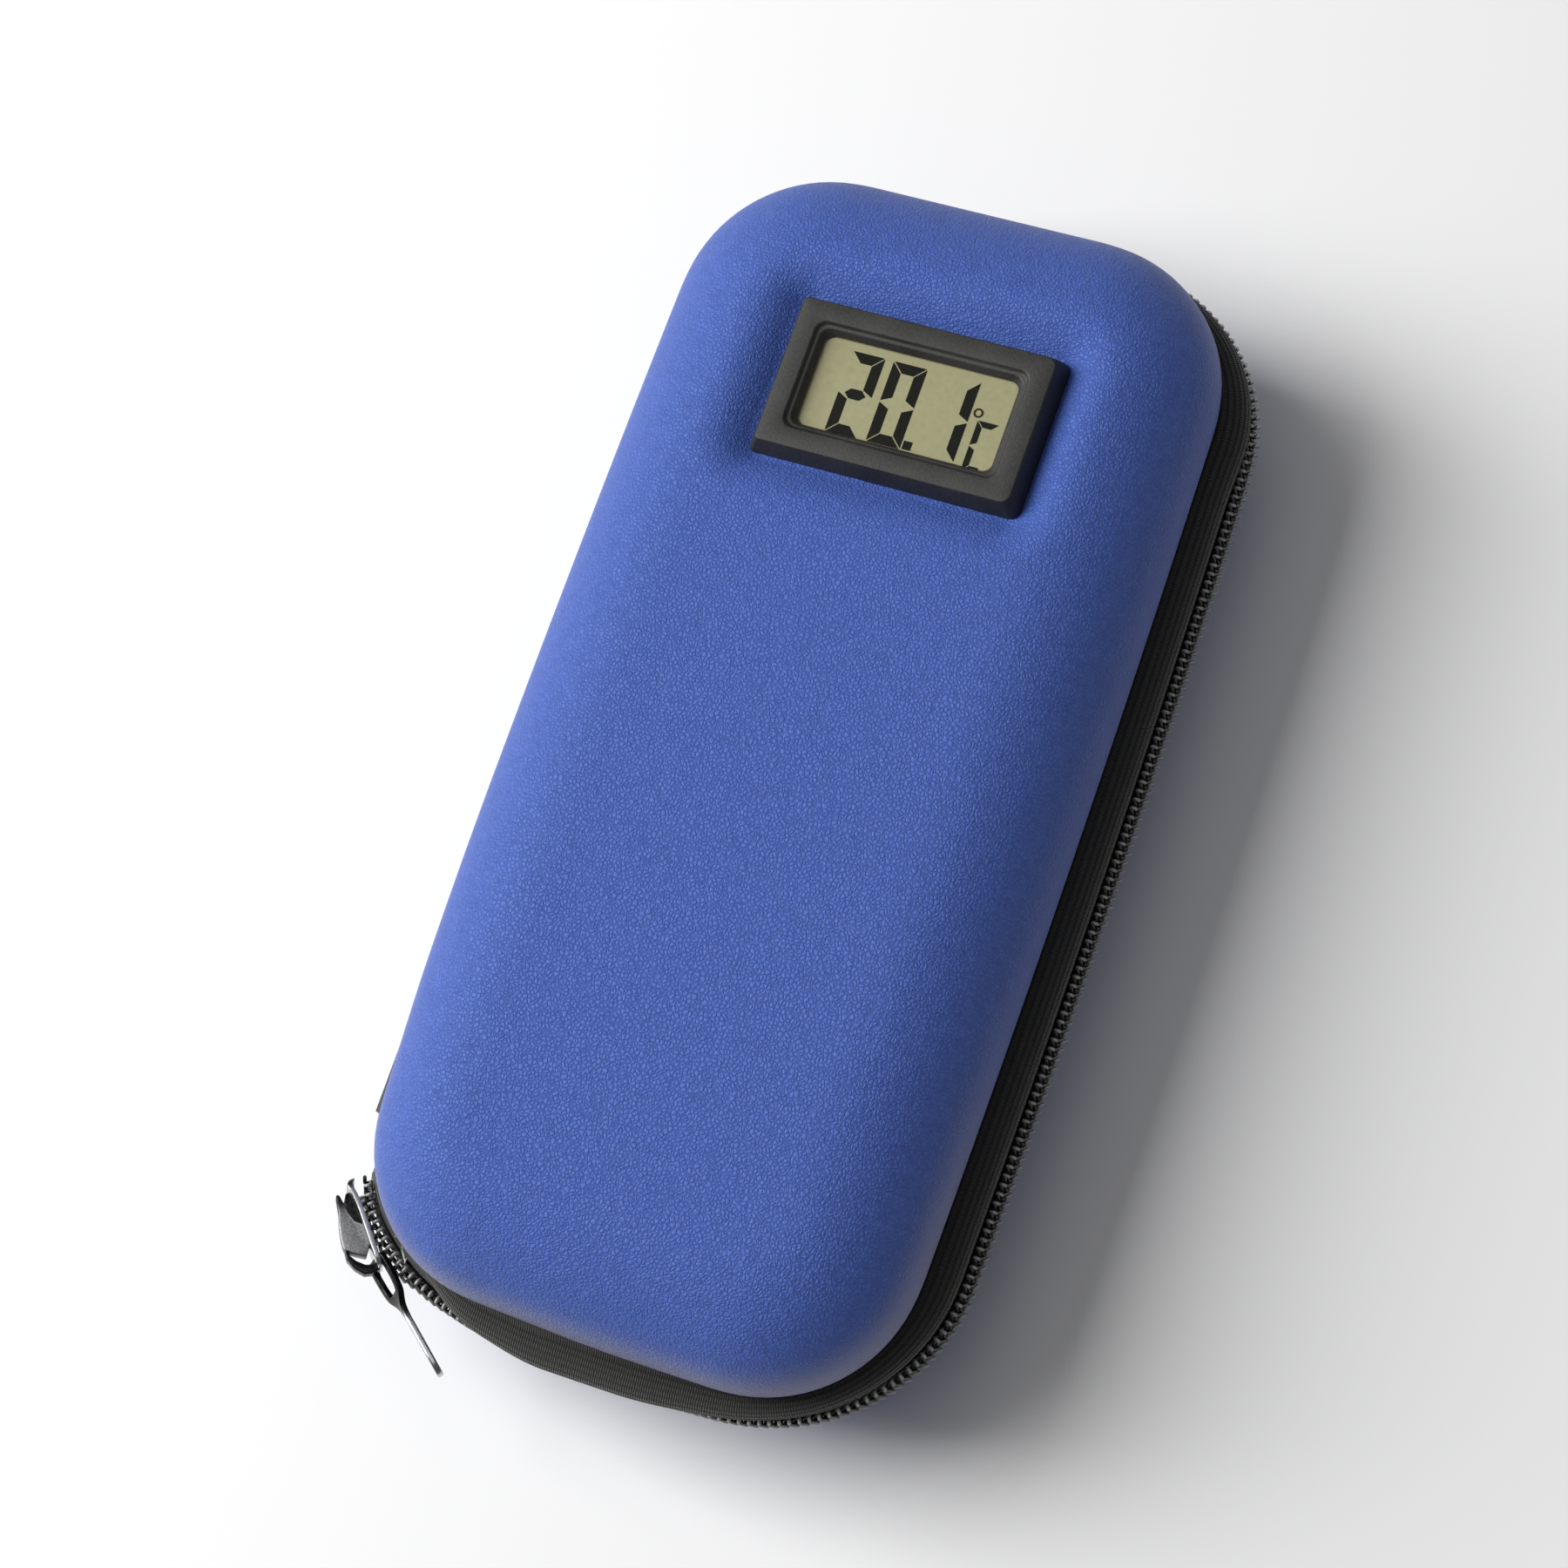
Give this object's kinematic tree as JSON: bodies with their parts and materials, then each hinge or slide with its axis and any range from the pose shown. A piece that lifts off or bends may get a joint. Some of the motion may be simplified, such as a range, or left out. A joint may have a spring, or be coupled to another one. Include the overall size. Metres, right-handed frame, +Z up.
{
  "type": "insulin cooling case",
  "caption": "Moulded hard carry case with a coil zipper, fabric hinge, panel thermometer in the lid, and a foam pen tray over gel packs.",
  "frame": {"origin": "centre of the base's flat bottom, on the surface the case rests on", "axes": "+X across the case away from the fabric hinge, +Y along the case towards the thermometer, +Z up"},
  "size_m": [0.1132, 0.2307, 0.0568],
  "materials": {
    "blue_leather": "fine embossed grain, satin",
    "foil_lining": "metallised quilted film",
    "zipper_tape": "woven polyester",
    "zipper_coil": "nylon coil",
    "spine_fabric": "woven",
    "net": "open mesh",
    "foam": "closed-cell foam",
    "nickel": "satin nickel plate",
    "gel_film": "film over gel",
    "elastic": "ribbed elastic",
    "black_plastic": "fine spark texture",
    "clear_pane": "clear",
    "display_glass": "olive reflective film",
    "strip_rubber": "matte",
    "circuit_board": "solder mask",
    "resin": "gloss epoxy",
    "cell_steel": "bright",
    "contact_brass": "bright"
  },
  "bodies": {
    "base": {"base_shell": "blue_leather", "base_liner": "foil_lining", "base_zipper_tape": "zipper_tape", "base_zipper_teeth": "zipper_coil", "base_spine_flap": "spine_fabric", "base_stop_closed_end": "nickel", "base_stop_open_end": "nickel", "pen_tray": "foam", "gel_pack_1": "gel_film", "gel_pack_2": "gel_film", "elastic_strap_1": "elastic", "elastic_strap_2": "elastic"},
    "lid": {"lid_shell": "blue_leather", "lid_liner": "foil_lining", "lid_zipper_tape": "zipper_tape", "lid_zipper_teeth": "zipper_coil", "lid_spine_flap": "spine_fabric", "lid_stop_closed_end": "nickel", "lid_stop_open_end": "nickel", "net_pocket": "net", "meter_frame": "black_plastic", "window_pane": "clear_pane", "display_panel": "display_glass", "contact_strip": "strip_rubber", "circuit_board": "circuit_board", "rear_cover": "black_plastic", "controller_blob": "resin", "thermistor": "resin", "button_cell_1": "cell_steel", "button_cell_2": "cell_steel", "cell_contact_1": "contact_brass", "cell_contact_2": "contact_brass"},
    "battery_door": {"battery_door": "black_plastic"},
    "slider": {"zipper_slider": "nickel"},
    "pull": {"zipper_pull": "nickel"}
  },
  "joints": [
    {"name": "lid_hinge", "type": "hinge", "parent": "base", "child": "lid", "pos_m": [-0.056, 0, 0.028], "axis": [0, -1, 0], "range_deg": [0, 178]},
    {"name": "slider_travel", "type": "hinge", "parent": "base", "child": "slider", "pos_m": [-0.02195, -0.0755, 0.028], "axis": [0, 0, 1], "range_deg": [0, 42], "deforming": ["lid_zipper_teeth", "base_zipper_teeth"]},
    {"name": "pull_swing", "type": "hinge", "parent": "slider", "child": "pull", "pos_m": [-0.04628, -0.1038, 0.02954], "axis": [-0.2581, -0.2244, -0.9397], "range_deg": [-4, 150]},
    {"name": "battery_door_slide", "type": "slide", "parent": "lid", "child": "battery_door", "axis": [1, 0, 0], "range_m": [0, 0.018]}
  ]
}
